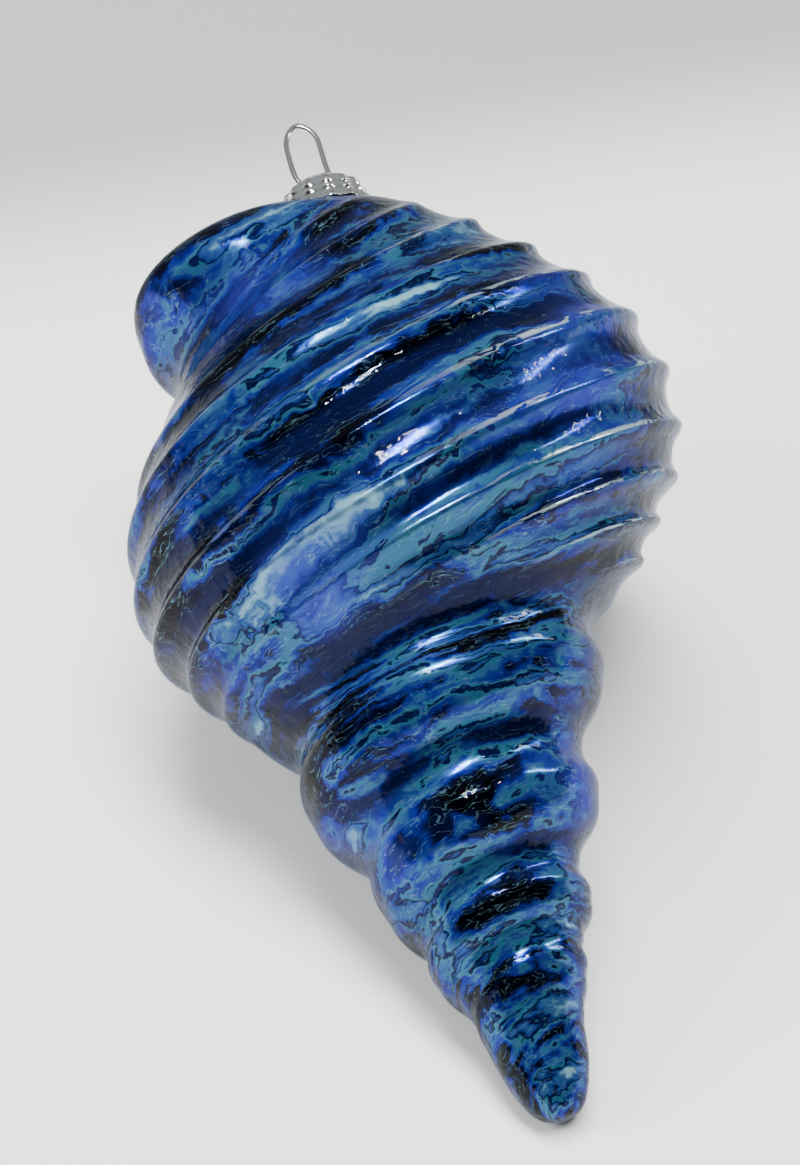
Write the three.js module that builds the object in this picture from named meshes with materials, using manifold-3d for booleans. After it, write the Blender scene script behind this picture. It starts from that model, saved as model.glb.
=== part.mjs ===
// Blown glass tree ornament in the form of a spiral seashell, with its metal crown cap and wire hanging loop.
// Millimetres, +Z up. The shell lies on its side: its tip points to -Y and its capped neck to +Y.
//
// The glass is one surface around a straight axis. A point on it is given by two numbers:
//   along   distance from the tip along the axis, 0 to NECK_RIM
//   turn    angle around the axis in radians, 0 on the upper side and growing towards +X
// The radius there is a smooth profile, shaped further by the whorl sutures, the spiral ribs, the flared
// outer lip and the aperture hollow.

import * as THREE from 'three';
import ManifoldModule from 'manifold-3d';

const wasm = await ManifoldModule();
wasm.setup();

// How the ornament lies: the axis climbs from the tip to the neck, so that tip and body touch the table.
const INCLINE_DEG = 24;
const TABLE_CUT = 2.8;

// Profile of the glass: [along, radius].
const PROFILE = [
  [0, 0], [0.8, 2.6], [3, 4.5], [7, 6.1], [14, 7.8], [24, 12.0], [34, 15.4], [44, 19.8], [56, 23.5], [66, 27.6],
  [76, 35.2], [86, 42.1], [96, 43.8], [106, 42.0], [116, 36.4], [126, 28.6], [135, 21.2], [140, 16.4],
  [143, 12.6], [144.7, 9.0], [145.8, 6.2], [147, 5.3], [151, 5.2],
];
// Sideways bend of the centre line: [along, offset towards +X].
const CENTRE_LINE = [[0, -1.5], [50, -3.0], [95, 1.0], [125, 1.0], [151, 1.0]];
// The body leans: its widest ring sits nearer the tip on the left than on the right.
const BODY_LEAN_DEG = 7;

// Suture, the spiral groove between whorls: [whorls from the tip, along] and [whorls from the tip, depth].
const SUTURE_PATH = [[0, 10], [1, 20.5], [2, 30.8], [3, 46.4], [4, 64], [5, 82]];
const SUTURE_DEPTH = [[0, 0], [1, 1.1], [2, 1.9], [3, 2.5], [4.2, 3.0], [4.6, 0], [6, 0]];
const SUTURE_RISE_ABOVE = 4.8;

// Spiral ribs: rib number against the distance along the axis, with six ribs starting side by side.
const RIB_STARTS = 6;
const RIB_PATH = [
  [64.5, -2], [70, -1], [75.4, 0], [81.2, 1], [88.3, 2], [97.2, 3], [106.8, 4], [115.4, 5], [123.5, 6], [132, 7],
];
const RIB_RISE_RIGHT = 5;
const RIB_RISE_ABOVE = -1.5;
const RIB_HEIGHT = 0.85;
const RIB_SHARPNESS = 1.1;

// Flared outer lip on the left, and the aperture hollow that it shelters on the underside.
const LIP = { rise: 15.5, along: 137, turnDeg: -86, width: 8.8, upperSpreadDeg: 48, underSpreadDeg: 75 };
const APERTURE = { depth: 6, along: 118, turnDeg: 196, width: 15, spreadDeg: 26 };

// Neck, with the bore that the legs of the loop go down.
const NECK_RIM = 151;
const NECK_BORE_RADIUS = 4.3;
const NECK_BORE_DEPTH = 15;

// Mesh fineness of the glass.
const GLASS_COLUMNS = 52;
const TIP_ROWS = 6;
const SPIRE_STEP = 2.85;
const BODY_STEP = 1.9;
const SHOULDER_STEP = 3;
const NECK_STEP = 1;

// Crown cap: a fluted sheet metal dome over the neck.
const CAP_TOP = 152.6;
const CAP_SHEET = 0.4;
const CAP_FLUTES = 14;
const CAP_FLUTE_DEPTH = 0.22;
const CAP_COLUMNS = 56;
// Outside of the cap: [radius, distance below the top].
const CAP_PROFILE = [[4.4, 0], [5.4, 0.5], [6.5, 1.5], [7.2, 2.8], [7.5, 4.2], [7.7, 5.4], [8.1, 6.2]];
const CAP_HOLE_RADIUS = 0.85;

// Wire hanging loop: [sideways, height above the cap top], from one leg end to the other.
const WIRE_RADIUS = 0.5;
const LEG_SPACING = 2.5;
const LOOP_PATH = [
  [-LEG_SPACING - 0.6, -9], [-LEG_SPACING, -4], [-LEG_SPACING, 0], [-3.4, 2.4], [-3.6, 5], [-3.55, 8],
  [-2.7, 10.6], [-0.85, 11.9], [1.0, 10.7], [1.9, 8.2], [1.95, 5], [2.1, 2.6],
  [LEG_SPACING, 0], [LEG_SPACING, -4], [LEG_SPACING + 0.6, -9],
];
const LOOP_STEPS = 40;
const WIRE_SIDES = 8;

const rad = THREE.MathUtils.degToRad;
const TURN = 2 * Math.PI;

// Unit directions: along the axis, straight up from it, and to the right.
const AXIS = new THREE.Vector3(0, Math.cos(rad(INCLINE_DEG)), Math.sin(rad(INCLINE_DEG)));
const ABOVE = new THREE.Vector3(0, -Math.sin(rad(INCLINE_DEG)), Math.cos(rad(INCLINE_DEG)));
const RIGHT = new THREE.Vector3(1, 0, 0);

// A smooth curve through [x, y] points that never overshoots them, held level past both ends.
function smoothCurve(points) {
  const last = points.length - 1;
  const step = points.slice(1).map(([x], i) => x - points[i][0]);
  const slope = points.slice(1).map(([, y], i) => (y - points[i][1]) / step[i]);
  const tangent = points.map((_, i) => {
    if (i === 0) return slope[0];
    if (i === last) return slope[last - 1];
    if (slope[i - 1] * slope[i] <= 0) return 0;
    const before = 2 * step[i] + step[i - 1];
    const after = step[i] + 2 * step[i - 1];
    return (before + after) / (before / slope[i - 1] + after / slope[i]);
  });
  return (value) => {
    const x = THREE.MathUtils.clamp(value, points[0][0], points[last][0]);
    let i = 0;
    while (i < last - 1 && x > points[i + 1][0]) i += 1;
    const h = step[i];
    const u = (x - points[i][0]) / h;
    return points[i][1] * (1 + 2 * u) * (1 - u) ** 2 + tangent[i] * h * u * (1 - u) ** 2
      + points[i + 1][1] * u * u * (3 - 2 * u) + tangent[i + 1] * h * u * u * (u - 1);
  };
}

const profileRadius = smoothCurve(PROFILE);
const centreOffset = smoothCurve(CENTRE_LINE);
const suturePlace = smoothCurve(SUTURE_PATH);
const sutureDepth = smoothCurve(SUTURE_DEPTH);
const ribNumber = smoothCurve(RIB_PATH);

const bell = (x) => Math.exp(-x * x);
const rise = (from, to, x) => THREE.MathUtils.smoothstep(x, from, to);
const turnFrom = (turn, deg) => THREE.MathUtils.euclideanModulo(THREE.MathUtils.radToDeg(turn) - deg + 180, 360) - 180;

// The profile, read further back on the left and further on to the right, so that the body leans.
function leaningProfile(turn, along) {
  const lean = Math.tan(rad(BODY_LEAN_DEG)) * rise(20, 70, along) * (1 - rise(128, 144, along));
  return profileRadius(along - lean * profileRadius(along) * Math.sin(turn));
}

// The outer lip stands out on the left and fades into the neck; the aperture is sunk beside it.
function lipAndAperture(turn, along) {
  const fromLip = turnFrom(turn, LIP.turnDeg);
  const spread = fromLip > 0 ? LIP.upperSpreadDeg : LIP.underSpreadDeg;
  const lipPlace = LIP.along + 0.12 * THREE.MathUtils.clamp(fromLip, -60, 60);
  const lip = LIP.rise * bell(fromLip / spread) * bell((along - lipPlace) / LIP.width) * (1 - rise(144.5, 146.3, along));
  const fromMouth = turnFrom(turn, APERTURE.turnDeg);
  const mouthPlace = APERTURE.along + 0.3 * fromMouth;
  const mouth = APERTURE.depth * bell(fromMouth / APERTURE.spreadDeg) * bell((along - mouthPlace) / APERTURE.width);
  return lip - mouth;
}

// The grooves of every whorl that pass this turn, with each whorl swelling a little between them.
function sutures(turn, along) {
  let change = 0;
  for (let whorl = 0; whorl < 5; whorl += 1) {
    const whorls = whorl + turn / TURN;
    if (whorls < 0) continue;
    const place = suturePlace(whorls) + SUTURE_RISE_ABOVE * Math.cos(turn) * rise(4, 24, along);
    const pitch = Math.max(suturePlace(whorls + 0.5) - suturePlace(whorls - 0.5), 8);
    const width = 0.27 * pitch;
    const swell = 0.3 * bell((along - place - 0.5 * pitch) / (1.2 * width));
    change += sutureDepth(whorls) * (swell - bell((along - place) / width));
  }
  return change;
}

// Rib number at a point: whole on a crest, and one more on each rib towards the neck.
function ribPhase(turn, along) {
  const level = along - RIB_RISE_RIGHT * Math.sin(turn) - RIB_RISE_ABOVE * Math.cos(turn);
  const first = RIB_PATH[0][0];
  const final = RIB_PATH[RIB_PATH.length - 1][0];
  const beyond = Math.min(level - first, 0) / 5.5 + Math.max(level - final, 0) / 8.5;
  return ribNumber(level) + beyond - RIB_STARTS * turn / TURN;
}

// Peaked ribs with round grooves, fading out at the last suture, on the lip and at the neck.
function ribs(turn, along) {
  const lastSuture = suturePlace(turn / TURN + 4) + SUTURE_RISE_ABOVE * Math.cos(turn);
  const onLip = bell((turn + rad(70)) / rad(42)) * rise(100, 118, along);
  const fade = rise(62, 74, along) * rise(1.5, 9, along - lastSuture) * (1 - rise(130, 145, along)) * (1 - 0.75 * onLip);
  const wave = Math.cos(TURN * ribPhase(turn, along));
  const floor = Math.exp(-2 * RIB_SHARPNESS);
  const peaked = (Math.exp(RIB_SHARPNESS * (wave - 1)) - floor) / (1 - floor);
  return RIB_HEIGHT * fade * (2 * peaked - 0.9);
}

function shellRadius(turn, along) {
  return leaningProfile(turn, along) + lipAndAperture(turn, along) + sutures(turn, along) + ribs(turn, along);
}

// A point off the axis, in the part's own upright frame, flattened where it would pass through the table.
function placed(along, turn, radius) {
  const point = new THREE.Vector3()
    .addScaledVector(AXIS, along)
    .addScaledVector(RIGHT, centreOffset(along) + radius * Math.sin(turn))
    .addScaledVector(ABOVE, radius * Math.cos(turn));
  point.z = Math.max(point.z, -TABLE_CUT);
  return point;
}

// A closed body from rings of points, with one point closing each end.
function ringBody(start, rings, end) {
  const columns = rings[0].length;
  const points = [start, ...rings.flat(), end];
  const at = (ring, column) => 1 + ring * columns + (column % columns);
  const faces = [];
  for (let c = 0; c < columns; c += 1) {
    faces.push(0, at(0, c + 1), at(0, c));
    for (let r = 0; r + 1 < rings.length; r += 1) {
      faces.push(at(r, c), at(r + 1, c + 1), at(r + 1, c));
      faces.push(at(r, c), at(r, c + 1), at(r + 1, c + 1));
    }
    faces.push(at(rings.length - 1, c), at(rings.length - 1, c + 1), points.length - 1);
  }
  const geometry = new THREE.BufferGeometry();
  geometry.setFromPoints(points);
  geometry.setIndex(faces);
  return geometry;
}

function turns(columns) {
  return Array.from({ length: columns }, (_, c) => -Math.PI + (TURN * c) / columns);
}

// Distances of the glass rings from the tip: close together at the tip and on the ribbed body.
function glassRows() {
  const rows = [];
  for (let i = 1; i <= TIP_ROWS; i += 1) rows.push(7 * (1 - Math.cos((i / TIP_ROWS) * Math.PI / 2)));
  const fill = (until, step) => {
    const from = rows[rows.length - 1];
    const count = Math.round((until - from) / step);
    for (let i = 1; i <= count; i += 1) rows.push(from + ((until - from) * i) / count);
  };
  fill(64, SPIRE_STEP);
  fill(128, BODY_STEP);
  fill(143, SHOULDER_STEP);
  fill(147, NECK_STEP);
  rows.push(NECK_RIM);
  return rows;
}

function glassShell() {
  const around = turns(GLASS_COLUMNS);
  const outside = glassRows().map((along) => around.map((turn) => placed(along, turn, shellRadius(turn, along))));
  const boreFloor = NECK_RIM - NECK_BORE_DEPTH;
  const bore = [NECK_RIM, boreFloor].map((along) => around.map((turn) => placed(along, turn, NECK_BORE_RADIUS)));
  return ringBody(placed(0, 0, 0), [...outside, ...bore], placed(boreFloor, 0, 0));
}

// Cap radius with its flutes, which are shallow on the dome and full depth on the skirt.
function fluted(radius, below, turn) {
  return radius + CAP_FLUTE_DEPTH * rise(0, 3, below) * Math.cos(CAP_FLUTES * turn);
}

// The rings run down the inside of the sheet, around its lower edge and back up the outside.
function capBody() {
  const around = turns(CAP_COLUMNS);
  const ring = (radius, below) => around.map((turn) => placed(CAP_TOP - below, turn, fluted(radius, below, turn)));
  const inside = CAP_PROFILE.map(([radius, below]) => ring(radius - CAP_SHEET, Math.max(below, CAP_SHEET)));
  const outside = CAP_PROFILE.map(([radius, below]) => ring(radius, below)).reverse();
  return ringBody(placed(CAP_TOP - CAP_SHEET, 0, 0), [...inside, ...outside], placed(CAP_TOP, 0, 0));
}

// Boolean helpers between three.js geometry and manifold-3d solids.
function toSolid(geometry) {
  const mesh = new wasm.Mesh({
    numProp: 3,
    vertProperties: new Float32Array(geometry.getAttribute('position').array),
    triVerts: new Uint32Array(geometry.getIndex().array),
  });
  mesh.merge();
  return new wasm.Manifold(mesh);
}

function toGeometry(solid) {
  const mesh = solid.getMesh();
  const geometry = new THREE.BufferGeometry();
  geometry.setAttribute('position', new THREE.BufferAttribute(new Float32Array(mesh.vertProperties), 3));
  geometry.setIndex(new THREE.BufferAttribute(new Uint32Array(mesh.triVerts), 1));
  return geometry;
}

// Point in the plane of the loop: sideways from the neck's centre, and above the cap top.
function loopPoint([sideways, height]) {
  return placed(CAP_TOP + height, Math.PI / 2, sideways);
}

// The cap with the two holes that the legs of the loop pass through.
function crownCap() {
  let cap = toSolid(capBody());
  for (const side of [-1, 1]) {
    const drill = new THREE.CylinderGeometry(CAP_HOLE_RADIUS, CAP_HOLE_RADIUS, 4, 12);
    drill.applyQuaternion(new THREE.Quaternion().setFromUnitVectors(new THREE.Vector3(0, 1, 0), AXIS));
    const centre = loopPoint([side * LEG_SPACING, 0]);
    drill.translate(centre.x, centre.y, centre.z);
    cap = cap.subtract(toSolid(drill));
  }
  return toGeometry(cap);
}

function hangingLoop() {
  const route = new THREE.CatmullRomCurve3(LOOP_PATH.map(loopPoint), false, 'centripetal');
  const section = new THREE.Shape();
  for (let i = 0; i < WIRE_SIDES; i += 1) {
    const angle = (TURN * i) / WIRE_SIDES;
    const x = WIRE_RADIUS * Math.cos(angle);
    const y = WIRE_RADIUS * Math.sin(angle);
    if (i === 0) section.moveTo(x, y);
    else section.lineTo(x, y);
  }
  section.closePath();
  return new THREE.ExtrudeGeometry(section, { steps: LOOP_STEPS, bevelEnabled: false, extrudePath: route });
}

function piece(name, geometry, colour, roughness, metalness) {
  geometry.computeVertexNormals();
  const mesh = new THREE.Mesh(geometry, new THREE.MeshStandardMaterial({ color: colour, roughness, metalness }));
  mesh.name = name;
  return mesh;
}

const ornament = new THREE.Group();
ornament.add(piece('glass_shell', glassShell(), 0x2b4f8c, 0.12, 0.8));
ornament.add(piece('crown_cap', crownCap(), 0xd4d6d2, 0.25, 1.0));
ornament.add(piece('hanging_loop', hangingLoop(), 0xb9bcb8, 0.3, 1.0));

// The origin is the middle of the footprint, on the table.
const bounds = new THREE.Box3().setFromObject(ornament);
const middle = bounds.getCenter(new THREE.Vector3());
ornament.position.set(-middle.x, -middle.y, -bounds.min.z);

const part = new THREE.Group();
part.add(ornament);

export default part;
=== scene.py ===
"""Looks of a blown glass tree ornament in the form of a spiral seashell, with its cap and hanging loop.

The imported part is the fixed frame. The glass, the cap and the wire are built again here with finer meshes and
dressed as what they are: clear glass over marbled lacquer and silvering, silver-plated sheet and drawn wire.
Sizes are in millimetres and turn to metres where a mesh is placed.
"""

import logging
import math
from collections.abc import Callable, Iterator
from dataclasses import dataclass
from enum import Enum

import bmesh
import bpy
import numpy as np
from mathutils import Matrix, Vector

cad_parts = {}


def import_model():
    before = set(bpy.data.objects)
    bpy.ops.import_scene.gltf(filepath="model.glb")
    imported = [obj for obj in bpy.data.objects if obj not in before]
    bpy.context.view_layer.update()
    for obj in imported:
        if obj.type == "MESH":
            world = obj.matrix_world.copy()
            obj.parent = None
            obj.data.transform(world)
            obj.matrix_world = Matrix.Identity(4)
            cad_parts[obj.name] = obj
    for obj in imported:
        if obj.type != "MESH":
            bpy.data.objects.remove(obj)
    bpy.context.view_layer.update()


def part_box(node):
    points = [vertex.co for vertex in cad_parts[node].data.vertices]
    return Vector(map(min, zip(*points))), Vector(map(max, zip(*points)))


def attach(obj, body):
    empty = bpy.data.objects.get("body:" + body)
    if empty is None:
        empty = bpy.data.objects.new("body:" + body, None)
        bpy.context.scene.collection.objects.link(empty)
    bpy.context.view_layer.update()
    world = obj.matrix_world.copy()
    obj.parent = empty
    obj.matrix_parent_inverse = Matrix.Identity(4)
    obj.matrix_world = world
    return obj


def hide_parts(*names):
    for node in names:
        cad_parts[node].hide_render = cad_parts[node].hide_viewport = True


LOG = logging.getLogger("ornament")
MM = 0.001
TURN = 2 * math.pi
BODY = "root"
CAP_TOP = 152.6
WELD_MM = 0.001
Points = tuple[tuple[float, float], ...]
Span = tuple[float, float]
Rgba = tuple[float, float, float, float]
Socket = bpy.types.NodeSocket
Tree = bpy.types.NodeTree


class Colour(Enum):
    """Colours of the ornament and its surroundings, as sRGB hex values."""

    NAVY = "#020308"
    # Ink of the marbling, also used for the painted shade in the grooves.
    INK_AND_SHADE = "#070F36"
    ROYAL = "#131F78"
    COBALT = "#1D3A76"
    STEEL = "#2E567C"
    TEAL = "#2D6478"
    AQUA = "#86B8C2"
    # Cream of the painted highlights along the crests.
    HIGHLIGHT_CREAM = "#C6D6D4"
    VIOLET = "#3840A8"
    SILVER = "#DDDFDC"
    WIRE = "#C9CCC8"
    TABLE = "#E8E8E4"
    SHADE = "#9C9E98"


def linear(colour: Colour) -> Rgba:
    """Turns an sRGB hex colour to linear RGBA.

    Args:
        colour: the colour, whose value is #RRGGBB.

    Returns:
        Linear red, green and blue, and an alpha of 1.
    """
    parts = [int(colour.value[i : i + 2], 16) / 255 for i in (1, 3, 5)]
    red, green, blue = (p / 12.92 if p <= 0.04045 else ((p + 0.055) / 1.055) ** 2.4 for p in parts)
    return red, green, blue, 1.0


def add(tree: Tree, kind: str, inputs: dict | None = None, **settings: object) -> bpy.types.Node:
    """Adds one node with its settings and links.

    Args:
        tree: the node tree to add to.
        kind: the node's type, without the ShaderNode prefix.
        inputs: socket name or number, to a value or to an output socket that is linked to it.
        settings: properties of the node.

    Returns:
        The new node.
    """
    node = tree.nodes.new("ShaderNode" + kind)
    for name, value in settings.items():
        setattr(node, name, value)
    for key, value in (inputs or {}).items():
        if isinstance(value, Socket):
            tree.links.new(value, node.inputs[key])
        else:
            node.inputs[key].default_value = value
    return node


def eased(tree: Tree, value: Socket, span: Span, reach: Span = (0.0, 1.0)) -> Socket:
    """Turns a value to a smooth step.

    Args:
        tree: the node tree to add to.
        value: the value's socket.
        span: the values where the step starts and ends.
        reach: what the step starts and ends at.

    Returns:
        The socket of the step.
    """
    inputs = {"From Min": span[0], "From Max": span[1], "To Min": reach[0], "To Max": reach[1], "Value": value}
    return add(tree, "MapRange", inputs, interpolation_type="SMOOTHSTEP").outputs["Result"]


def over(tree: Tree, amount: Socket, below: Socket | Rgba, colour: Colour) -> Socket:
    """Lays a colour over another by an amount from 0 to 1."""
    return add(tree, "Mix", {0: amount, 6: below, 7: linear(colour)}, data_type="RGBA").outputs[2]


def times(tree: Tree, first: Socket, second: Socket) -> Socket:
    """Multiplies two numbers."""
    return add(tree, "Math", {0: first, 1: second}, operation="MULTIPLY").outputs[0]


def noise(tree: Tree, place: Socket, size_mm: float, detail: float, distortion: float = 0.0) -> bpy.types.Node:
    """Adds a noise whose features have a real size."""
    inputs = {"Vector": place, "Scale": 1 / (size_mm * MM), "Detail": detail, "Distortion": distortion}
    return add(tree, "TexNoise", inputs)


def new_material(name: str) -> bpy.types.Material:
    """Makes a material with an empty node tree."""
    material = bpy.data.materials.new(name)
    material.use_nodes = True
    material.node_tree.nodes.clear()
    return material


def set_ramp(node: bpy.types.Node, stops: tuple[tuple[float, Colour], ...]) -> None:
    """Gives a colour ramp its stops.

    Args:
        node: the Color Ramp node.
        stops: position and colour of each stop, in rising order.
    """
    elements = node.color_ramp.elements
    while len(elements) < len(stops):
        elements.new(1.0)
    for element, (position, colour) in zip(elements, stops):
        element.position = position
        element.color = linear(colour)


class SmoothCurve:
    """A smooth curve through points that never overshoots them, held level past both ends."""

    def __init__(self, points: Points) -> None:
        """Works out the tangents.

        Args:
            points: the (x, y) points, with x rising.
        """
        self.x = np.array([p[0] for p in points], float)
        self.y = np.array([p[1] for p in points], float)
        step = np.diff(self.x)
        slope = np.diff(self.y) / step
        tangent = np.empty_like(self.y)
        tangent[0], tangent[-1] = slope[0], slope[-1]
        for i in range(1, len(slope)):
            before = 2 * step[i] + step[i - 1]
            after = step[i] + 2 * step[i - 1]
            turned = slope[i - 1] * slope[i] <= 0
            tangent[i] = 0 if turned else (before + after) / (before / slope[i - 1] + after / slope[i])
        self.tangent = tangent

    def __call__(self, value: np.ndarray | float) -> np.ndarray:
        """Reads the curve.

        Args:
            value: one x or many.

        Returns:
            The height of the curve at each x.
        """
        x = np.clip(value, self.x[0], self.x[-1])
        i = np.clip(np.searchsorted(self.x, x) - 1, 0, len(self.x) - 2)
        h = self.x[i + 1] - self.x[i]
        u = (x - self.x[i]) / h
        ends = self.y[i] * (1 + 2 * u) * (1 - u) ** 2 + self.y[i + 1] * u * u * (3 - 2 * u)
        return ends + self.tangent[i] * h * u * (1 - u) ** 2 + self.tangent[i + 1] * h * u * u * (u - 1)


def bell(x: np.ndarray) -> np.ndarray:
    """Gaussian bump of height 1 and width 1."""
    return np.exp(-x * x)


def rise(start: float, end: float, x: np.ndarray) -> np.ndarray:
    """Smooth step from 0 at start to 1 at end."""
    u = np.clip((x - start) / (end - start), 0, 1)
    return u * u * (3 - 2 * u)


@dataclass(frozen=True)
class Placement:
    """Where the ornament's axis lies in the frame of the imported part.

    A point is given by its distance along the axis from the tip, its turn around the axis, which is 0 on the
    upper side and grows towards +X, and its distance from the axis.
    """

    incline_deg: float = 24.0
    start: tuple[float, float, float] = (0.0, 0.0, 0.0)
    centre_line: Points = ((0, -1.5), (50, -3.0), (95, 1.0), (125, 1.0), (151, 1.0))

    @property
    def axis(self) -> Vector:
        """Unit direction from the tip to the neck."""
        slope = math.radians(self.incline_deg)
        return Vector((0, math.cos(slope), math.sin(slope)))

    @property
    def above(self) -> Vector:
        """Unit direction square to the axis, on its upper side."""
        slope = math.radians(self.incline_deg)
        return Vector((0, -math.sin(slope), math.cos(slope)))

    def points(self, along: np.ndarray, turn: np.ndarray, radius: np.ndarray) -> np.ndarray:
        """Places points around the axis, flattened where they would pass through the table.

        Args:
            along: distances from the tip.
            turn: angles around the axis, in radians.
            radius: distances from the axis.

        Returns:
            An array of positions in metres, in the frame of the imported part.
        """
        sideways = SmoothCurve(self.centre_line)(along) + radius * np.sin(turn)
        up = radius * np.cos(turn)
        place = np.multiply.outer(along, self.axis) + np.multiply.outer(up, self.above) + self.start
        place[:, 0] += sideways
        place[:, 2] = np.maximum(place[:, 2], 0)
        return place * MM

    def point(self, along: float, sideways: float) -> Vector:
        """Places one point in the plane that holds the axis and runs left to right."""
        place = self.points(np.array([along]), np.array([TURN / 4]), np.array([sideways]))
        return Vector(place[0])


def wrapped_sheet(columns: int, rows: int) -> tuple[bmesh.types.BMesh, np.ndarray, np.ndarray]:
    """Makes a flat grid that is to be wrapped around the axis.

    Args:
        columns: faces around the axis.
        rows: faces along the profile.

    Returns:
        The grid, the turn of each vertex in radians, and the profile row of each vertex.
    """
    sheet = bmesh.new()
    bmesh.ops.create_grid(sheet, x_segments=columns, y_segments=rows, size=1)
    flat = np.array([v.co for v in sheet.verts])
    turn = math.pi * np.round((flat[:, 0] + 1) / 2 * columns) * 2 / columns - math.pi
    row = np.round((flat[:, 1] + 1) / 2 * rows).astype(int)
    return sheet, turn, row


def closed_mesh(
    name: str, sheet: bmesh.types.BMesh, place: np.ndarray, marks: dict[str, np.ndarray]
) -> bpy.types.Mesh:
    """Moves the grid's vertices into place and closes its seam and poles.

    Args:
        name: name of the mesh.
        sheet: the grid, which is freed.
        place: the position of each vertex.
        marks: float values for each vertex, kept as attributes.

    Returns:
        A smooth mesh whose faces point outwards.
    """
    layers = {mark: sheet.verts.layers.float.new(mark) for mark in marks}
    for i, vertex in enumerate(sheet.verts):
        vertex.co = place[i]
        for mark, layer in layers.items():
            vertex[layer] = marks[mark][i]
    bmesh.ops.remove_doubles(sheet, verts=sheet.verts, dist=WELD_MM * MM)
    bmesh.ops.recalc_face_normals(sheet, faces=sheet.faces)
    for face in sheet.faces:
        face.smooth = True
    mesh = bpy.data.meshes.new(name)
    sheet.to_mesh(mesh)
    sheet.free()
    return mesh


def shown(name: str, mesh: bpy.types.Mesh, material: bpy.types.Material) -> bpy.types.Object:
    """Puts a mesh with its material into the scene as an object at the origin."""
    thing = bpy.data.objects.new(name, mesh)
    bpy.context.scene.collection.objects.link(thing)
    mesh.materials.append(material)
    return thing


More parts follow.
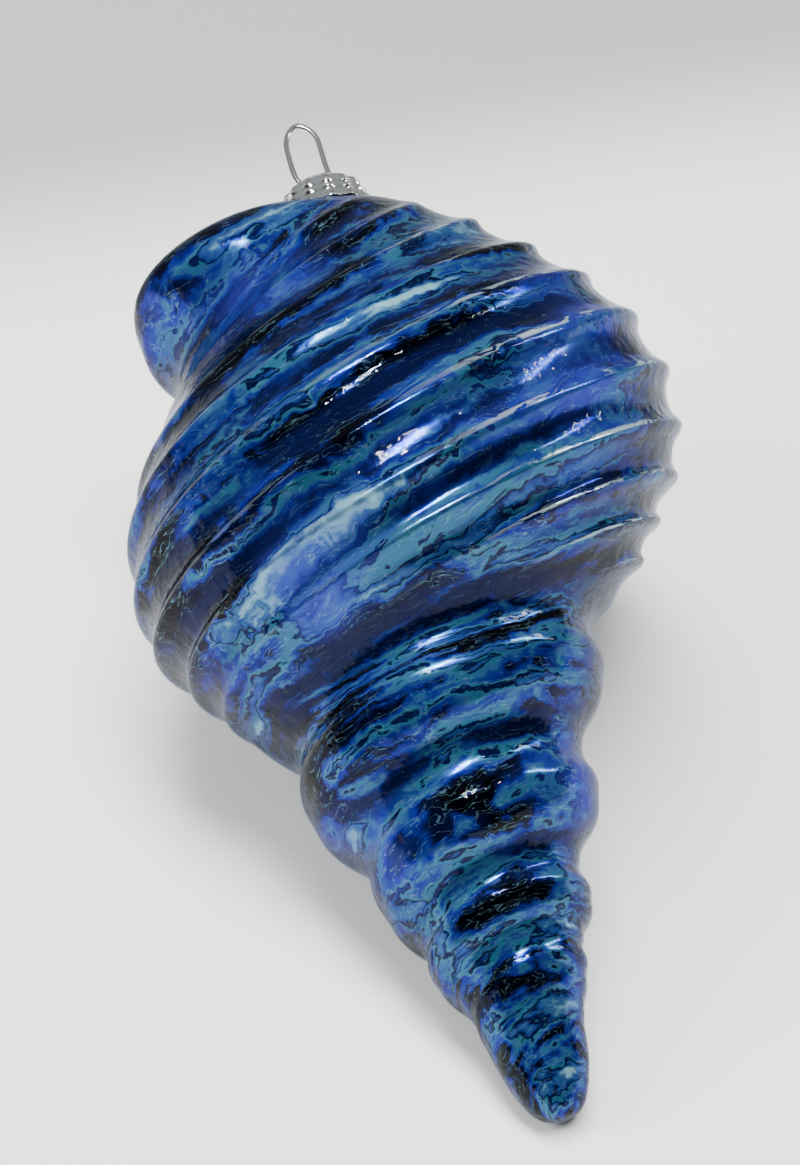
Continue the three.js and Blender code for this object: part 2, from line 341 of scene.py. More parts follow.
@dataclass(frozen=True)
class SilveredGlass:
    """Clear blown glass over marbled blue lacquer and silvering, as in an inside-silvered ornament.

    The silvering makes the colours mirror-like, so the base is partly metallic and tinted by the lacquer. The
    lacquer was swirled as streaks that follow the ribs. The clear glass is a coat with its own reflections.
    A span holds the noise or rib values between which a mark comes in, and the value named full is how
    strong the mark gets.
    """

    metallic: float = 0.6
    base_reflection: float = 0.05
    coat_weight: float = 0.3
    coat_ior: float = 1.38
    coat_roughness: float = 0.015
    lacquer_tint: Rgba = (0.55, 0.68, 0.95, 1.0)
    edge_tint: Rgba = (0.03, 0.05, 0.14, 1.0)
    marbling: tuple[tuple[float, Colour], ...] = (
        (0.40, Colour.NAVY),
        (0.45, Colour.INK_AND_SHADE),
        (0.475, Colour.ROYAL),
        (0.50, Colour.COBALT),
        (0.52, Colour.STEEL),
        (0.545, Colour.TEAL),
        (0.555, Colour.INK_AND_SHADE),
        (0.575, Colour.INK_AND_SHADE),
        (0.60, Colour.COBALT),
        (0.64, Colour.STEEL),
        (0.71, Colour.AQUA),
    )
    swirl_mm: float = 13.0
    swirl_bend: tuple[float, float, float] = (1.5, 1.5, 1.2)
    curl_mm: float = 4.5
    curl_bend: tuple[float, float, float] = (0.6, 0.6, 0.6)
    patch_mm: float = 32.0
    patch_span: Span = (0.5, 0.68)
    patch_full: float = 0.55
    thread_squeeze: tuple[float, float, float] = (2.1, 2.1, 1.2)
    thread_width: float = 0.012
    thread_full: float = 0.3
    # Painted shade of ink in the rib grooves and the suture grooves.
    groove_shade_span: Span = (0.0, -0.95)
    uneven_span: Span = (0.62, 0.42)
    seam_shade_span: Span = (0.6, 0.98)
    shade_full: float = 0.8
    # Painted highlights of cream along the crests, stronger on the right side.
    highlight_crest_span: Span = (0.9, 0.99)
    highlight_full: float = 0.8
    highlight_break_span: Span = (0.46, 0.58)
    lit_side_span: Span = (-0.2, 0.8)
    far_side_highlight: float = 0.15
    silvering_roughness: Span = (0.1, 0.26)
    mottle_mm: float = 0.5
    mottle_strength: float = 0.35
    ripple_mm: float = 3.2
    ripple_height_mm: float = 0.6
    ripple_strength: float = 0.75

    def build(self) -> bpy.types.Material:
        """Makes the material.

        Returns:
            The finish of the glass.
        """
        material = new_material("Silvered glass, marbled blue lacquer")
        tree = material.node_tree
        place = add(tree, "TexCoord").outputs["Object"]
        flow = add(tree, "Attribute", attribute_name="flow").outputs["Vector"]
        flow_turn = add(tree, "Attribute", attribute_name="flow_turn").outputs["Fac"]
        bent = self.swirled(tree, flow, place, self.swirl_mm, 3.0, 0.8, self.swirl_bend)
        curled = self.swirled(tree, bent, place, self.curl_mm, 2.0, 1.5, self.curl_bend)
        streak = add(
            tree,
            "TexNoise",
            {"Vector": curled, "W": flow_turn, "Scale": 0.5, "Detail": 3.0, "Distortion": 0.5},
            noise_dimensions="4D",
        ).outputs["Fac"]
        fine = add(tree, "VectorMath", {0: bent, 1: self.thread_squeeze}, operation="MULTIPLY").outputs[0]
        thread = add(
            tree,
            "TexNoise",
            {"Vector": fine, "W": flow_turn, "Scale": 1.0, "Detail": 3.0, "Distortion": 1.2},
            noise_dimensions="4D",
        ).outputs["Fac"]
        marbled = self.marbled(tree, place, streak, thread)
        colour = self.shade_and_highlight(tree, marbled, flow_turn, streak, thread)

        # Silvering is bright where it is even and soft where it mottles. Hand-blown glass ripples.
        low, high = self.silvering_roughness
        spread = {"From Min": 0.3, "From Max": 0.7, "To Min": low, "To Max": high}
        rough = add(tree, "MapRange", {"Value": streak, **spread})
        ripple = noise(tree, place, self.ripple_mm, 2.0).outputs["Fac"]
        mottle = self.bumps(tree, streak, self.mottle_mm, self.mottle_strength)
        waves = self.bumps(tree, ripple, self.ripple_height_mm, self.ripple_strength)
        shader = add(
            tree,
            "BsdfPrincipled",
            {
                "Base Color": colour,
                "Metallic": self.metallic,
                "Specular IOR Level": self.base_reflection,
                "Roughness": rough.outputs["Result"],
                "Normal": mottle,
                "Specular Tint": self.edge_tint,
                "Coat Weight": self.coat_weight,
                "Coat Tint": self.lacquer_tint,
                "Coat Roughness": self.coat_roughness,
                "Coat IOR": self.coat_ior,
                "Coat Normal": waves,
            },
        )
        add(tree, "OutputMaterial", {"Surface": shader.outputs["BSDF"]})
        return material

    def swirled(
        self,
        tree: Tree,
        flow: Socket,
        place: Socket,
        size_mm: float,
        detail: float,
        distortion: float,
        bend: tuple[float, float, float],
    ) -> Socket:
        """Bends the coordinates that the streaks follow by a soft noise of a swirl's real size.

        Args:
            tree: the node tree to add to.
            flow: the coordinates.
            place: the place on the glass.
            size_mm: size of a swirl.
            detail: finer noises on top of the first.
            distortion: how far the noise folds over itself.
            bend: how far each coordinate is bent.

        Returns:
            The bent coordinates.
        """
        swirl = noise(tree, place, size_mm, detail, distortion)
        way = add(tree, "VectorMath", {0: swirl.outputs["Color"], 1: (0.5, 0.5, 0.5)}, operation="SUBTRACT")
        bent = add(tree, "VectorMath", {0: way.outputs[0], 1: bend, 2: flow}, operation="MULTIPLY_ADD")
        return bent.outputs[0]

    def bumps(self, tree: Tree, height: Socket, distance_mm: float, strength: float) -> Socket:
        """Tilts the surface as if a height of 1 stood so many millimetres out."""
        inputs = {"Strength": strength, "Distance": distance_mm * MM, "Height": height}
        return add(tree, "Bump", inputs).outputs["Normal"]

    def marbled(self, tree: Tree, place: Socket, streak: Socket, thread: Socket) -> Socket:
        """Streaks of blue lacquer, with violet patches between them and thin pale threads along them.

        Args:
            tree: the node tree to add to.
            place: the place on the glass.
            streak: the noise of the streaks.
            thread: the noise of the threads, which run where it is near a half.

        Returns:
            The colour of the lacquer.
        """
        blues = add(tree, "ValToRGB", {"Fac": streak})
        set_ramp(blues, self.marbling)
        patch = noise(tree, place, self.patch_mm, 2.0).outputs["Fac"]
        patchy = eased(tree, patch, self.patch_span, (0.0, self.patch_full))
        base = over(tree, patchy, blues.outputs["Color"], Colour.VIOLET)
        away = add(tree, "Math", {0: thread, 1: 0.5}, operation="SUBTRACT").outputs[0]
        distance = add(tree, "Math", {0: away}, operation="ABSOLUTE").outputs[0]
        threads = eased(tree, distance, (self.thread_width, 0.0), (0.0, self.thread_full))
        return over(tree, threads, base, Colour.AQUA)

    def shade_and_highlight(
        self, tree: Tree, marbled: Socket, flow_turn: Socket, streak: Socket, thread: Socket
    ) -> Socket:
        """Painted shade, dark ink in the rib grooves and the suture grooves, and painted highlights, pale over
        the crests.

        Args:
            tree: the node tree to add to.
            marbled: the colour of the lacquer.
            flow_turn: the fourth of the coordinates that the streaks follow, which is greatest on the right.
            streak: the noise of the streaks.
            thread: the noise of the threads.

        Returns:
            The colour of the lacquer, with painted shade and painted highlights.
        """
        rib = add(tree, "Attribute", attribute_name="rib").outputs["Vector"]
        suture = add(tree, "Attribute", attribute_name="suture").outputs["Fac"]
        crest = add(tree, "SeparateXYZ", {0: rib}).outputs
        # Painted shade: ink darkens the rib grooves and the suture grooves, unevenly along the streaks.
        uneven = eased(tree, streak, self.uneven_span)
        groove = eased(tree, crest["X"], self.groove_shade_span, (0.0, self.shade_full))
        groove = times(tree, times(tree, groove, uneven), crest["Z"])
        seam = eased(tree, suture, self.seam_shade_span, (0.0, self.shade_full))
        seam = times(tree, seam, uneven)
        painted_shade = add(tree, "Math", {0: groove, 1: seam}, operation="MAXIMUM").outputs[0]
        darkened = over(tree, painted_shade, marbled, Colour.INK_AND_SHADE)
        # Painted highlight: pale cream lines along the crests, broken up by the threads and strongest on the
        # right side.
        crest_highlight = eased(tree, crest["Y"], self.highlight_crest_span, (0.0, self.highlight_full))
        worn = eased(tree, thread, self.highlight_break_span)
        side = eased(tree, flow_turn, self.lit_side_span, (self.far_side_highlight, 1.0))
        pale = times(tree, times(tree, times(tree, crest_highlight, worn), side), crest["Z"])
        return over(tree, pale, darkened, Colour.HIGHLIGHT_CREAM)


@dataclass(frozen=True)
class BrightMetal:
    """Silver-plated sheet or drawn wire, bright and slightly worn, so its reflections are a little soft."""

    name: str
    colour: Colour
    roughness: float

    def build(self) -> bpy.types.Material:
        """Makes the material.

        Returns:
            The finish of one metal piece.
        """
        material = new_material(self.name)
        tree = material.node_tree
        shader = add(
            tree,
            "BsdfPrincipled",
            {"Base Color": linear(self.colour), "Metallic": 1.0, "Roughness": self.roughness},
        )
        add(tree, "OutputMaterial", {"Surface": shader.outputs["BSDF"]})
        return material


@dataclass(frozen=True)
class GlassShell:
    """The blown glass body: a smooth profile with sutures, ribs, the flared lip and the aperture hollow.

    A span named grows or fades holds the two distances along the axis between which a feature comes or goes.
    """

    placement: Placement
    profile: Points = (
        (0, 0), (0.8, 2.6), (3, 4.5), (7, 6.1), (14, 7.8), (24, 12.0), (34, 15.4), (44, 19.8), (56, 23.5),
        (66, 27.6), (76, 35.2), (86, 42.1), (96, 43.8), (106, 42.0), (116, 36.4), (126, 28.6), (135, 21.2),
        (140, 16.4), (143, 12.6), (144.7, 9.0), (145.8, 6.2), (147, 5.3), (151, 5.2),
    )
    lean_deg: float = 7.0
    lean_grows: Span = (20, 70)
    lean_fades: Span = (128, 144)
    suture_path: Points = ((0, 10), (1, 20.5), (2, 30.8), (3, 46.4), (4, 64), (5, 82))
    suture_depth: Points = ((0, 0), (1, 1.1), (2, 1.9), (3, 2.5), (4.2, 3.0), (4.6, 0), (6, 0))
    suture_turns: int = 5
    suture_rise_above: float = 4.8
    suture_rise_grows: Span = (4, 24)
    suture_width: float = 0.27
    least_pitch: float = 8.0
    whorl_swell: float = 0.3
    swell_width: float = 1.2
    # The painted shade in each suture groove: its offset and width as parts of the groove's width, and the
    # groove depth where it is full.
    suture_shade_offset: float = 0.3
    suture_shade_width: float = 0.8
    suture_shade_depth: float = 1.5
    ridges: int = 3
    ridge_height: float = 0.16
    ridges_grow: Span = (8, 22)
    ridges_fade: Span = (60, 72)
    rib_starts: int = 6
    rib_path: Points = (
        (64.5, -2), (70, -1), (75.4, 0), (81.2, 1), (88.3, 2), (97.2, 3), (106.8, 4), (115.4, 5), (123.5, 6),
        (132, 7),
    )
    rib_pitch_before: float = 5.5
    rib_pitch_beyond: float = 8.5
    rib_rise_right: float = 5.0
    rib_rise_above: float = -1.5
    rib_height: float = 0.85
    rib_sharpness: float = 1.1
    rib_sink: float = 0.9
    ribs_grow: Span = (62, 74)
    ribs_grow_past_suture: Span = (1.5, 9)
    ribs_fade: Span = (130, 145)
    smooth_lip: float = 0.75
    smooth_lip_turn_deg: float = -70.0
    smooth_lip_spread_deg: float = 42.0
    smooth_lip_grows: Span = (100, 118)
    lip_rise: float = 15.5
    lip_along: float = 137.0
    lip_turn_deg: float = -86.0
    lip_width: float = 8.8
    lip_upper_spread_deg: float = 48.0
    lip_under_spread_deg: float = 75.0
    lip_slant_per_deg: float = 0.12
    lip_slant_reach_deg: float = 60.0
    lip_fades: Span = (144.5, 146.3)
    mouth_depth: float = 6.0
    mouth_along: float = 118.0
    mouth_turn_deg: float = 196.0
    mouth_width: float = 15.0
    mouth_spread_deg: float = 26.0
    mouth_slant_per_deg: float = 0.3
    tip_end: float = 7.0
    neck_foot: float = 147.0
    neck_middle: float = 149.0
    neck_rim: float = 151.0
    bore_radius: float = 4.3
    bore_depth: float = 15.0
    columns: int = 288
    tip_rows: int = 20
    row_step: float = 0.5
    streak_across: float = 2.6
    streak_across_spire: float = 0.35
    streak_across_grows: Span = (50, 80)
    streak_around: float = 2.0
    streak_drift: float = 9.0
    streak_blend: Span = (56, 74)
    whorl_to_rib: float = 26.0
    # Offset of the painted highlight from each crest, in degrees of rib phase.
    highlight_offset_deg: float = 24.0

    def turn_from(self, turn: np.ndarray, degrees: float) -> np.ndarray:
        """Signed angle in degrees from a place around the axis, within half a turn."""
        return (np.degrees(turn) - degrees + 180) % 360 - 180

    def leaning_profile(self, turn: np.ndarray, along: np.ndarray) -> np.ndarray:
        """Profile radius, read further back on the left and further on to the right, so the body leans."""
        radius = SmoothCurve(self.profile)
        lean = math.tan(math.radians(self.lean_deg)) * rise(*self.lean_grows, along)
        lean *= 1 - rise(*self.lean_fades, along)
        return radius(along - lean * radius(along) * np.sin(turn))

    def lip_and_mouth(self, turn: np.ndarray, along: np.ndarray) -> np.ndarray:
        """Rise of the outer lip on the left, less the hollow of the aperture beside it."""
        from_lip = self.turn_from(turn, self.lip_turn_deg)
        spread = np.where(from_lip > 0, self.lip_upper_spread_deg, self.lip_under_spread_deg)
        slant = np.clip(from_lip, -self.lip_slant_reach_deg, self.lip_slant_reach_deg)
        lip_place = self.lip_along + self.lip_slant_per_deg * slant
        lip = self.lip_rise * bell(from_lip / spread) * bell((along - lip_place) / self.lip_width)
        from_mouth = self.turn_from(turn, self.mouth_turn_deg)
        mouth_place = self.mouth_along + self.mouth_slant_per_deg * from_mouth
        mouth = self.mouth_depth * bell(from_mouth / self.mouth_spread_deg)
        mouth *= bell((along - mouth_place) / self.mouth_width)
        return lip * (1 - rise(*self.lip_fades, along)) - mouth

    def grooves(self, turn: np.ndarray, along: np.ndarray) -> Iterator[tuple[np.ndarray, ...]]:
        """Goes through the turns of the suture.

        Args:
            turn: angles around the axis.
            along: distances from the tip.

        Yields:
            Depth of the groove, which is 0 before the suture starts, the place of its middle, and the distance
            between turns there.
        """
        path, depth = SmoothCurve(self.suture_path), SmoothCurve(self.suture_depth)
        for whorl in range(self.suture_turns):
            whorls = whorl + turn / TURN
            above = self.suture_rise_above * np.cos(turn) * rise(*self.suture_rise_grows, along)
            pitch = np.maximum(path(whorls + 0.5) - path(whorls - 0.5), self.least_pitch)
            yield depth(whorls), path(whorls) + above, pitch

    def sutures(self, turn: np.ndarray, along: np.ndarray) -> np.ndarray:
        """Grooves between the whorls, with each whorl swelling a little between them."""
        change = np.zeros_like(along)
        for depth, place, pitch in self.grooves(turn, along):
            width = self.suture_width * pitch
            swell = self.whorl_swell * bell((along - place - 0.5 * pitch) / (self.swell_width * width))
            change += depth * (swell - bell((along - place) / width))
        return change

    def suture_shade(self, turn: np.ndarray, along: np.ndarray) -> np.ndarray:
        """How deep a point lies in a suture groove, from 0 to 1, which sets the painted shade there."""
        mark = np.zeros_like(along)
        for depth, place, pitch in self.grooves(turn, along):
            width = self.suture_width * pitch
            here = bell((along - place - self.suture_shade_offset * width) / (self.suture_shade_width * width))
            mark = np.maximum(mark, rise(0, self.suture_shade_depth, depth) * here)
        return mark

    def rib_phase(self, turn: np.ndarray, along: np.ndarray) -> np.ndarray:
        """Rib number: whole on a crest, and one more on each rib towards the neck."""
        level = along - self.rib_rise_right * np.sin(turn) - self.rib_rise_above * np.cos(turn)
        first, final = self.rib_path[0][0], self.rib_path[-1][0]
        before = np.minimum(level - first, 0) / self.rib_pitch_before
        beyond = np.maximum(level - final, 0) / self.rib_pitch_beyond
        return SmoothCurve(self.rib_path)(level) + before + beyond - self.rib_starts * turn / TURN

    def rib_strength(self, turn: np.ndarray, along: np.ndarray) -> np.ndarray:
        """How far the ribs stand out: 0 on the spire and at the neck, little on the lip, 1 on the body."""
        last_suture = SmoothCurve(self.suture_path)(turn / TURN + self.suture_turns - 1)
        past_suture = along - last_suture - self.suture_rise_above * np.cos(turn)
        from_lip = turn - math.radians(self.smooth_lip_turn_deg)
        on_lip = bell(from_lip / math.radians(self.smooth_lip_spread_deg))
        on_lip *= rise(*self.smooth_lip_grows, along)
        ends = rise(*self.ribs_grow, along) * rise(*self.ribs_grow_past_suture, past_suture)
        return ends * (1 - rise(*self.ribs_fade, along)) * (1 - self.smooth_lip * on_lip)

    def ribs(self, turn: np.ndarray, along: np.ndarray) -> np.ndarray:
        """Peaked ribs with round grooves."""
        wave = np.cos(TURN * self.rib_phase(turn, along))
        floor = math.exp(-2 * self.rib_sharpness)
        peaked = (np.exp(self.rib_sharpness * (wave - 1)) - floor) / (1 - floor)
        return self.rib_height * self.rib_strength(turn, along) * (2 * peaked - self.rib_sink)

    def radius(self, turn: np.ndarray, along: np.ndarray) -> np.ndarray:
        """Distance of the glass from the axis."""
        shape = self.leaning_profile(turn, along) + self.lip_and_mouth(turn, along)
        return shape + self.sutures(turn, along) + self.ribs(turn, along) + self.spire_ridges(turn, along)

    def whorl_level(self, turn: np.ndarray, along: np.ndarray) -> np.ndarray:
        """Whorls from the tip to a point, less its turn: whole on a suture."""
        level = along - self.suture_rise_above * np.cos(turn)
        whorl_of = SmoothCurve(tuple((place, whorl) for whorl, place in self.suture_path))
        first_pitch = self.suture_path[0][1]
        return whorl_of(level) + np.minimum(level - first_pitch, 0) / first_pitch - turn / TURN

    def spire_ridges(self, turn: np.ndarray, along: np.ndarray) -> np.ndarray:
        """Faint ridges that run along each whorl of the spire."""
        fade = rise(*self.ridges_grow, along) * (1 - rise(*self.ridges_fade, along))
        return self.ridge_height * fade * np.cos(TURN * self.ridges * self.whorl_level(turn, along))

    def flow(self, turn: np.ndarray, along: np.ndarray) -> tuple[np.ndarray, np.ndarray]:
        """Coordinates that the lacquer's streaks follow: slow along the ribs, quick across them, seamless.

        Args:
            turn: angles around the axis.
            along: distances from the tip.

        Returns:
            Three coordinates for each point, and a fourth.
        """
        on_spire = self.rib_starts * self.whorl_level(turn, along) - self.whorl_to_rib
        blend = rise(*self.streak_blend, along)
        phase = on_spire * (1 - blend) + self.rib_phase(turn, along) * blend
        angle = TURN * phase / self.rib_starts
        widening = (1 - self.streak_across_spire) * rise(*self.streak_across_grows, along)
        across = self.streak_across * (self.streak_across_spire + widening)
        drift = along / self.streak_drift
        around = self.streak_around * np.cos(turn)
        three = np.stack([across * np.cos(angle) + drift, across * np.sin(angle), around], axis=1)
        return three, self.streak_around * np.sin(turn)

    def build(self) -> bpy.types.Object:
        """Builds and dresses the glass.

        Returns:
            The glass object.
        """
        tip = self.tip_end * (1 - np.cos(np.linspace(0, math.pi / 2, self.tip_rows + 1)))
        count = round((self.neck_foot - self.tip_end) / self.row_step)
        body = np.linspace(self.tip_end, self.neck_foot, count + 1)[1:]
        floor = self.neck_rim - self.bore_depth
        neck = [self.neck_middle, self.neck_rim, self.neck_rim, floor, floor]
        stations = np.concatenate([tip, body, neck])
        bore = np.full(len(stations), np.nan)
        bore[-3:] = [self.bore_radius, self.bore_radius, 0]
        sheet, turn, row = wrapped_sheet(self.columns, len(stations) - 1)
        along = stations[row]
        radius = np.where(np.isnan(bore[row]), self.radius(turn, along), bore[row])
        radius = np.where(along == 0, 0, radius)
        place = self.placement.points(along, turn, radius)
        mesh = closed_mesh("glass_shell", sheet, place, {"turn": turn, "along": along})
        self.mark_flow(mesh)
        return shown("blown_glass", mesh, SilveredGlass().build())

    def mark_flow(self, mesh: bpy.types.Mesh) -> None:
        """Stores what the lacquer follows, and where shade and highlights are painted, as attributes of the
        mesh.

        Args:
            mesh: the closed mesh, with the attributes turn and along, which are removed.
        """
        count = len(mesh.vertices)
        turn, along = np.empty(count, np.float32), np.empty(count, np.float32)
        mesh.attributes["turn"].data.foreach_get("value", turn)
        mesh.attributes["along"].data.foreach_get("value", along)
        turn, along = turn.astype(float), along.astype(float)
        flow, flow_turn = self.flow(turn, along)
        # rib holds the groove for the painted shade, the side of each crest that gets the painted highlight,
        # and how far the ribs stand out; suture holds the painted shade in the suture grooves.
        phase = TURN * self.rib_phase(turn, along)
        highlight_side = np.cos(phase - math.radians(self.highlight_offset_deg))
        rib = np.stack([np.cos(phase), highlight_side, self.rib_strength(turn, along)], axis=1)
        for name, values in (("flow", flow), ("rib", rib)):
            mesh.attributes.new(name, "FLOAT_VECTOR", "POINT").data.foreach_set("vector", values.ravel())
        for name, numbers in (("flow_turn", flow_turn), ("suture", self.suture_shade(turn, along))):
            mesh.attributes.new(name, "FLOAT", "POINT").data.foreach_set("value", numbers)
        for name in ("turn", "along"):
            mesh.attributes.remove(mesh.attributes[name])


@dataclass(frozen=True)
class CrownCap:
    """Stamped sheet cap: a fluted dome with rows of embossed beads, and two holes for the wire."""

    placement: Placement
    top: float = CAP_TOP
    sheet: float = 0.4
    flutes: int = 14
    flute_depth: float = 0.22
    flutes_grow: Span = (0, 3)
    bead_depth: float = 0.2
    bead_pitch: float = 1.25
    beads_grow: Span = (0.3, 1.2)
    beads_fade: Span = (5.2, 6.2)
    outside: Points = ((0, 4.4), (0.5, 5.4), (1.5, 6.5), (2.8, 7.2), (4.2, 7.5), (5.4, 7.7), (6.2, 8.1))
    flat_top: tuple[float, ...] = (0.0, 2.2, 3.6)
    hole_radius: float = 0.85
    drill_length: float = 4.0
    leg_spacing: float = 2.5
    columns: int = 224
    rows: int = 40
    crowding: float = 1.3

    def reach(self) -> tuple[float, float]:
        """Furthest points of the cap from the tip along +Y and +Z, for an axis that starts at the origin.

        Returns:
            The highest Y and the highest Z of the solid cap.
        """
        slope = math.radians(self.placement.incline_deg)
        rims = [
            (self.top - below, radius + self.flute_depth * float(rise(*self.flutes_grow, np.array(below))))
            for below, radius in self.outside
        ]
        far = max(along * math.cos(slope) + radius * math.sin(slope) for along, radius in rims)
        high = max(along * math.sin(slope) + radius * math.cos(slope) for along, radius in rims)
        return far, high

    def build(self) -> bpy.types.Object:
        """Builds and dresses the cap.

        Returns:
            The cap object.
        """
        edge = self.outside[-1][0]
        curve = SmoothCurve(self.outside)
        down = np.linspace(0, 1, self.rows) ** self.crowding * edge
        outer = [(r, 0.0) for r in self.flat_top] + [(float(curve(b)), float(b)) for b in down]
        inner = [(max(r - self.sheet, 0), max(b, self.sheet)) for r, b in reversed(outer)]
        radius, below = np.array(outer + inner).T
        sheet, turn, row = wrapped_sheet(self.columns, len(radius) - 1)
        depth = below[row]
        fluting = self.flute_depth * rise(*self.flutes_grow, depth) * np.cos(self.flutes * turn)
        beaded = rise(*self.beads_grow, depth) * (1 - rise(*self.beads_fade, depth))
        rows_of_beads = np.sin(TURN * depth / self.bead_pitch) * beaded
        beads = self.bead_depth * rows_of_beads * (1 + np.cos(self.flutes * turn)) / 2
        shape = np.where(radius[row] == 0, 0, radius[row] + fluting + beads - self.bead_depth)
        mesh = closed_mesh("crown_cap", sheet, self.placement.points(self.top - depth, turn, shape), {})
        cap = shown("cap_sheet", mesh, BrightMetal("Silver-plated sheet", Colour.SILVER, 0.16).build())
        self.drill(cap)
        return cap

    def drill(self, cap: bpy.types.Object) -> None:
        """Cuts the two holes that the wire passes through.

        Args:
            cap: the cap object, whose mesh is replaced.
        """
        tool = bmesh.new()
        upright = Vector((0, 0, 1)).rotation_difference(self.placement.axis).to_matrix().to_4x4()
        for side in (-1, 1):
            spot = Matrix.Translation(self.placement.point(self.top, side * self.leg_spacing))
            bmesh.ops.create_cone(
                tool,
                cap_ends=True,
                segments=24,
                radius1=self.hole_radius * MM,
                radius2=self.hole_radius * MM,
                depth=self.drill_length * MM,
                matrix=spot @ upright,
            )
        mesh = bpy.data.meshes.new("drill")
        tool.to_mesh(mesh)
        tool.free()
        cutter = bpy.data.objects.new("drill", mesh)
        bpy.context.scene.collection.objects.link(cutter)
        holes = cap.modifiers.new("holes", "BOOLEAN")
        holes.object = cutter
        holes.operation = "DIFFERENCE"
        holes.solver = "EXACT"
        graph = bpy.context.evaluated_depsgraph_get()
        cut = bpy.data.meshes.new_from_object(cap.evaluated_get(graph))
        cap.modifiers.remove(holes)
        cap.data = cut
        bpy.data.objects.remove(cutter)


@dataclass(frozen=True)
class HangingLoop:
    """Drawn wire bent to a loop, whose legs go down through the cap into the neck."""

    placement: Placement
    cap_top: float = CAP_TOP
    wire_radius: float = 0.5
    sides: int = 20
    steps: int = 120
    route: Points = (
        (-3.1, -9), (-2.5, -4), (-2.5, 0), (-3.4, 2.4), (-3.6, 5), (-3.55, 8), (-2.7, 10.6), (-0.85, 11.9),
        (1.0, 10.7), (1.9, 8.2), (1.95, 5), (2.1, 2.6), (2.5, 0), (2.5, -4), (3.1, -9),
    )

    def centre_points(self) -> list[Vector]:
        """Follows the wire's centre line.

        Returns:
            Evenly counted points on a smooth curve through the route.
        """
        route = [self.placement.point(self.cap_top + height, aside) for aside, height in self.route]
        knots = np.array(route)
        lengths = np.concatenate([[0], np.cumsum(np.linalg.norm(np.diff(knots, axis=0), axis=1) ** 0.5)])
        curves = [SmoothCurve(tuple(zip(lengths, knots[:, axis]))) for axis in range(3)]
        spots = np.linspace(0, lengths[-1], self.steps)
        return [Vector([float(curve(s)) for curve in curves]) for s in spots]

    def build(self) -> bpy.types.Object:
        """Builds and dresses the wire by drawing a circle along its route.

        Returns:
            The wire object.
        """
        centres = self.centre_points()
        wire = bmesh.new()
        ahead = (centres[1] - centres[0]).normalized()
        start = Vector((0, 0, 1)).rotation_difference(ahead).to_matrix().to_4x4()
        bmesh.ops.create_circle(
            wire,
            cap_ends=True,
            segments=self.sides,
            radius=self.wire_radius * MM,
            matrix=Matrix.Translation(centres[0]) @ start,
        )
        ring = list(wire.edges)
        for i in range(1, len(centres)):
            here = centres[i]
            after = centres[min(i + 1, len(centres) - 1)]
            heading = (after - centres[i - 1]).normalized()
            drawn = bmesh.ops.extrude_edge_only(wire, edges=ring)["geom"]
            verts = [g for g in drawn if isinstance(g, bmesh.types.BMVert)]
            ring = [g for g in drawn if isinstance(g, bmesh.types.BMEdge) and set(g.verts) <= set(verts)]
            swing = ahead.rotation_difference(heading).to_matrix().to_4x4()
            pivot = Matrix.Translation(here) @ swing @ Matrix.Translation(-centres[i - 1])
            bmesh.ops.transform(wire, matrix=pivot, verts=verts)
            ahead = heading
        bmesh.ops.contextual_create(wire, geom=ring)
        bmesh.ops.recalc_face_normals(wire, faces=wire.faces)
        for face in wire.faces:
            face.smooth = len(face.verts) == 4
        mesh = bpy.data.meshes.new("hanging_loop")
        wire.to_mesh(mesh)
        wire.free()
        return shown("loop_wire", mesh, BrightMetal("Drawn wire", Colour.WIRE, 0.22).build())


@dataclass(frozen=True)
class Lamp:
    """A rectangular lamp that looks at the ornament.

    It is kept out of reflections where it isn't mirrored, and is seen in reflections alone where it isn't
    lighting.
    """

    name: str
    place: tuple[float, float, float]
    size: tuple[float, float]
    power: float
    mirrored: bool = True
    lighting: bool = True

    def build(self) -> None:
        """Hangs the lamp."""
        light = bpy.data.lights.new(self.name, "AREA")
        light.shape = "RECTANGLE"
        light.size, light.size_y = self.size
        light.energy = self.power
        lamp = bpy.data.objects.new(self.name, light)
        lamp.location = self.place
        lamp.visible_glossy = self.mirrored
        lamp.visible_diffuse = self.lighting
        lamp.rotation_euler = (-Vector(self.place)).to_track_quat("-Z", "Y").to_euler()
        bpy.context.scene.collection.objects.link(lamp)


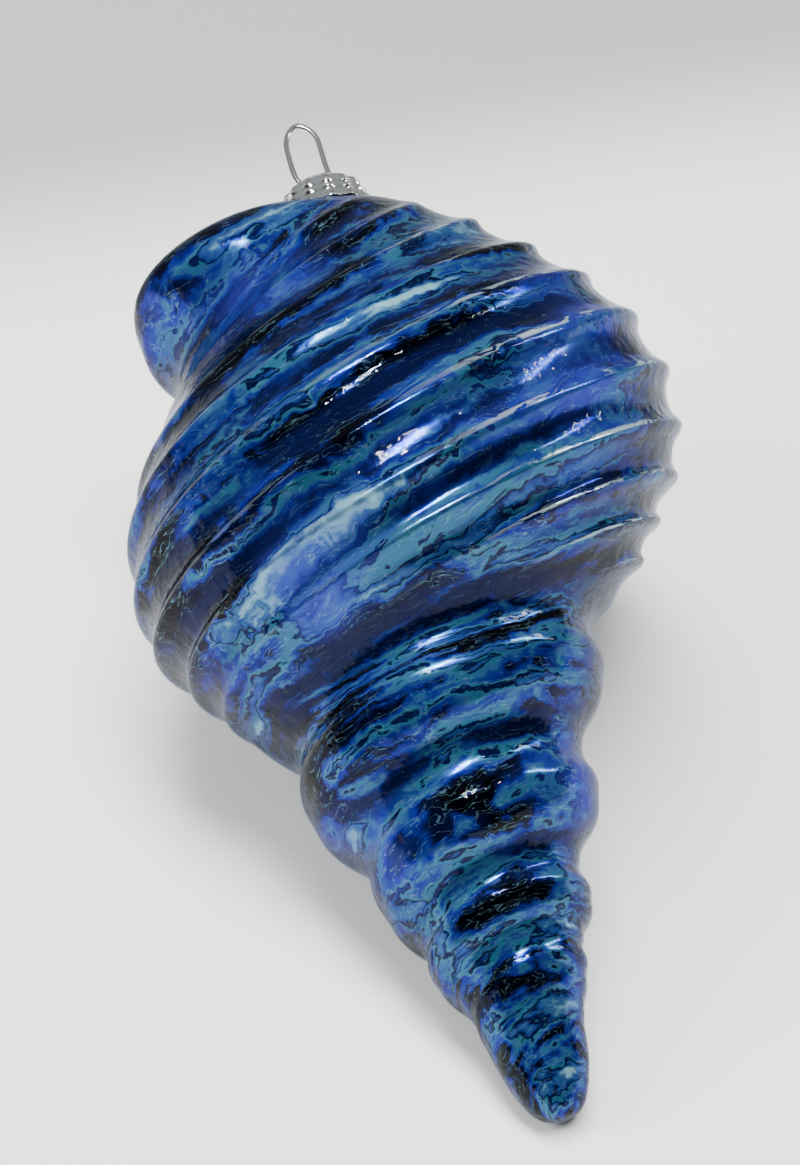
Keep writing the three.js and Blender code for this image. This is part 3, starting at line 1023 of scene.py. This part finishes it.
@dataclass(frozen=True)
class Studio:
    """Pale table, light and the camera.

    The lamps, the table's reach and shade span and the camera's nearest distance are in metres. The room's
    light grows along the direction +Y over its span.
    """

    placement: Placement
    azimuth_deg: float = 16.07
    elevation_deg: float = 46.97
    distance: float = 304.1
    view_deg: float = 33.0
    nearest: float = 0.01
    looks_at: tuple[float, float, float] = (-2.9, 78.0, 31.4)
    table_reach: float = 12.0
    table_roughness: float = 0.6
    shade_span: Span = (0.11, 0.19)
    lamps: tuple[Lamp, ...] = (
        Lamp("Overhead softbox", (0.05, 0.03, 1.0), (0.8, 0.3), 29.0, mirrored=False),
        Lamp("Left softbox", (-0.85, 0.1, 0.65), (0.3, 0.6), 14.0, mirrored=False),
        Lamp("Ceiling strip", (-0.15, -0.25, 0.9), (0.3, 0.006), 12.0, lighting=False),
        Lamp("Second ceiling strip", (-0.05, -0.38, 0.9), (0.3, 0.006), 12.0, lighting=False),
        Lamp("Window strip", (0.75, -0.05, 0.5), (0.02, 0.5), 4.0, lighting=False),
    )
    room_colour: Rgba = (0.9, 0.93, 1.0, 1.0)
    room_span: Span = (-0.5, 0.7)
    room_strength: Span = (0.01, 0.45)

    def build(self) -> None:
        """Builds the table, the light and the camera."""
        self.table()
        self.light()
        self.camera()

    def table(self) -> None:
        """Lays the table, darkened beyond the ornament by painted shade in place of a shaded backdrop."""
        sheet = bmesh.new()
        bmesh.ops.create_grid(sheet, x_segments=1, y_segments=1, size=self.table_reach)
        mesh = bpy.data.meshes.new("table")
        sheet.to_mesh(mesh)
        sheet.free()
        material = new_material("Matt table paint")
        tree = material.node_tree
        spot = add(tree, "SeparateXYZ", {0: add(tree, "TexCoord").outputs["Object"]})
        # Painted shade: the table's colour darkens towards +Y beyond the ornament.
        away = eased(tree, spot.outputs["Y"], self.shade_span)
        paint = over(tree, away, linear(Colour.TABLE), Colour.SHADE)
        shader = add(tree, "BsdfPrincipled", {"Base Color": paint, "Roughness": self.table_roughness})
        add(tree, "OutputMaterial", {"Surface": shader.outputs["BSDF"]})
        shown("table", mesh, material)

    def light(self) -> None:
        """Lights the scene with its lamps and a room that is dark in front and bright behind."""
        for lamp in self.lamps:
            lamp.build()
        world = bpy.data.worlds.new("Room")
        bpy.context.scene.world = world
        world.use_nodes = True
        tree = world.node_tree
        room = tree.nodes["Background"]
        way = add(tree, "SeparateXYZ", {0: add(tree, "TexCoord").outputs["Generated"]})
        strength = eased(tree, way.outputs["Y"], self.room_span, self.room_strength)
        tree.links.new(strength, room.inputs["Strength"])
        room.inputs["Color"].default_value = self.room_colour

    def camera(self) -> None:
        """Sets the camera at the photograph's viewing angle."""
        around, down = math.radians(self.azimuth_deg), math.radians(self.elevation_deg)
        level = math.cos(down)
        view = Vector((math.sin(around) * level, math.cos(around) * level, -math.sin(down)))
        centre = (Vector(self.looks_at) + Vector(self.placement.start)) * MM
        data = bpy.data.cameras.new("Camera")
        data.sensor_fit = "VERTICAL"
        data.angle = math.radians(self.view_deg)
        data.clip_start = self.nearest
        camera = bpy.data.objects.new("Camera", data)
        camera.location = centre - view * self.distance * MM
        camera.rotation_euler = view.to_track_quat("-Z", "Y").to_euler()
        bpy.context.scene.collection.objects.link(camera)
        bpy.context.scene.camera = camera


def axis_placement() -> Placement:
    """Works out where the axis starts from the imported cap, which is round about it.

    Returns:
        The placement of the ornament's axis in the frame.
    """
    untouched = Placement()
    low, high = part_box("crown_cap")
    far_y, far_z = CrownCap(untouched).reach()
    aside = (low.x + high.x) / 2 / MM - untouched.centre_line[-1][1]
    return Placement(start=(aside, high.y / MM - far_y, high.z / MM - far_z))


def main() -> None:
    """Builds the pieces in order and reports each."""
    logging.basicConfig(level=logging.INFO, format="%(name)s: %(message)s")
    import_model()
    placement = axis_placement()
    LOG.info("axis starts at %s", [round(v, 3) for v in placement.start])
    pieces: tuple[tuple[Callable[[], bpy.types.Object], str, str], ...] = (
        (GlassShell(placement).build, "glass_shell", "silvered_glass"),
        (CrownCap(placement).build, "crown_cap", "cap_metal"),
        (HangingLoop(placement).build, "hanging_loop", "loop_wire"),
    )
    for build, node, slot in pieces:
        thing = build()
        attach(thing, BODY)
        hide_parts(node)
        LOG.info("%s: %d vertices, %d faces", thing.name, len(thing.data.vertices), len(thing.data.polygons))
    Studio(placement).build()


if __name__ == "__main__":
    main()
